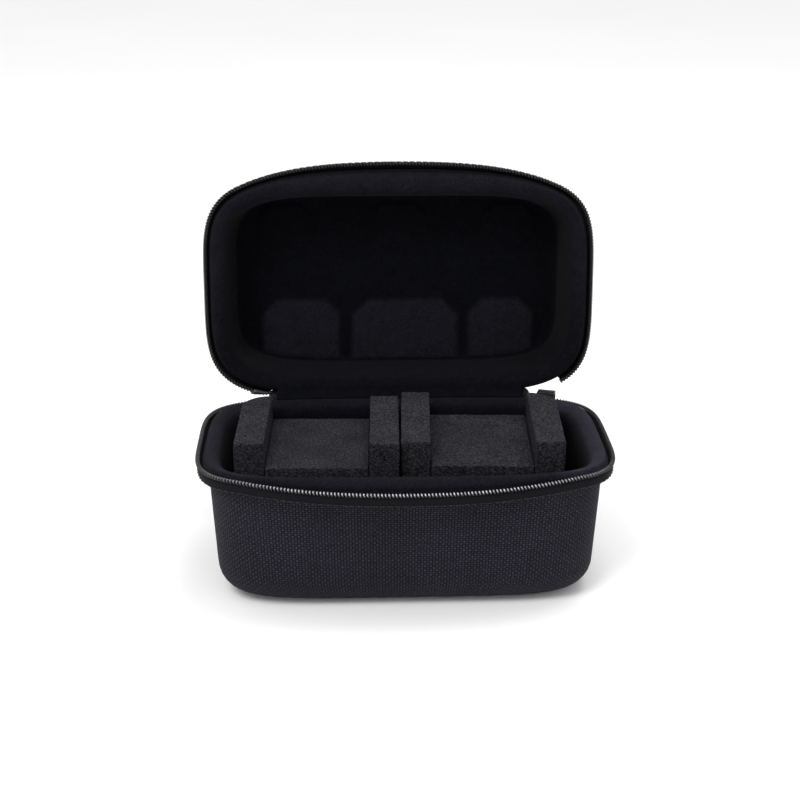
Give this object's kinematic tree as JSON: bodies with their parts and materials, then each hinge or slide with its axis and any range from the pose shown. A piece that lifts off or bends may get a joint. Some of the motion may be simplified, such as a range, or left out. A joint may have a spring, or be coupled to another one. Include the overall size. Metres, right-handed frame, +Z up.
{
  "type": "miniature carry case",
  "caption": "Hard-shell zip case with a hinged lid on a fabric hinge, a coil zipper round the rim and loose foam cradles that hold tabletop miniatures.",
  "frame": {"origin": "middle of the base's flat bottom, on the surface that it stands on", "axes": "+X to the right seen from the front, +Y towards the hinge, +Z up"},
  "size_m": [0.1842, 0.158, 0.1732],
  "materials": {
    "outer_fabric": "matte",
    "eva_foam": "matte",
    "lining": "matte",
    "zipper_tape": "matte",
    "zipper_coil": "satin",
    "thread": "satin",
    "zipper_metal": "satin",
    "cradle_foam": "matte"
  },
  "bodies": {
    "base": {"base_outer_fabric": "outer_fabric", "base_eva_shell": "eva_foam", "base_lining": "lining", "base_zipper_tape": "zipper_tape", "base_zipper_coil": "zipper_coil", "base_tape_stitching": "thread", "base_zipper_stop": "zipper_metal", "hinge_strip": "outer_fabric", "hinge_lining": "lining", "bottom_foam_pad": "cradle_foam"},
    "lid": {"lid_outer_fabric": "outer_fabric", "lid_eva_shell": "eva_foam", "lid_lining": "lining", "lid_zipper_tape": "zipper_tape", "lid_zipper_coil": "zipper_coil", "lid_tape_stitching": "thread", "lid_zipper_stop": "zipper_metal"},
    "slider": {"slider_body": "zipper_metal"},
    "pull": {"pull_tab": "zipper_metal"},
    "left_cradle": {"left_cradle_floor": "cradle_foam", "left_cradle_outer_bar": "cradle_foam", "left_cradle_inner_bar": "cradle_foam"},
    "right_cradle": {"right_cradle_floor": "cradle_foam", "right_cradle_outer_bar": "cradle_foam", "right_cradle_inner_bar": "cradle_foam"}
  },
  "joints": [
    {"name": "lid_hinge", "type": "hinge", "parent": "base", "child": "lid", "pos_m": [0, 0.0511, 0.0643], "axis": [-1, 0, 0], "range_deg": [-96.3, 11.7], "deforming": ["hinge_strip", "hinge_lining"]},
    {"name": "slider_slide", "type": "slide", "parent": "base", "child": "slider", "axis": [-0.9565, 0.2917, 0], "range_m": [0, 0.0025]},
    {"name": "pull_swing", "type": "hinge", "parent": "slider", "child": "pull", "pos_m": [0.07093, 0.05199, 0.0618], "axis": [0.9565, -0.2917, 0], "range_deg": [0, 70]},
    {"name": "left_cradle_lift", "type": "slide", "parent": "base", "child": "left_cradle", "axis": [0, 0, 1], "range_m": [0, 0.07]},
    {"name": "right_cradle_lift", "type": "slide", "parent": "base", "child": "right_cradle", "axis": [0, 0, 1], "range_m": [0, 0.07]}
  ]
}
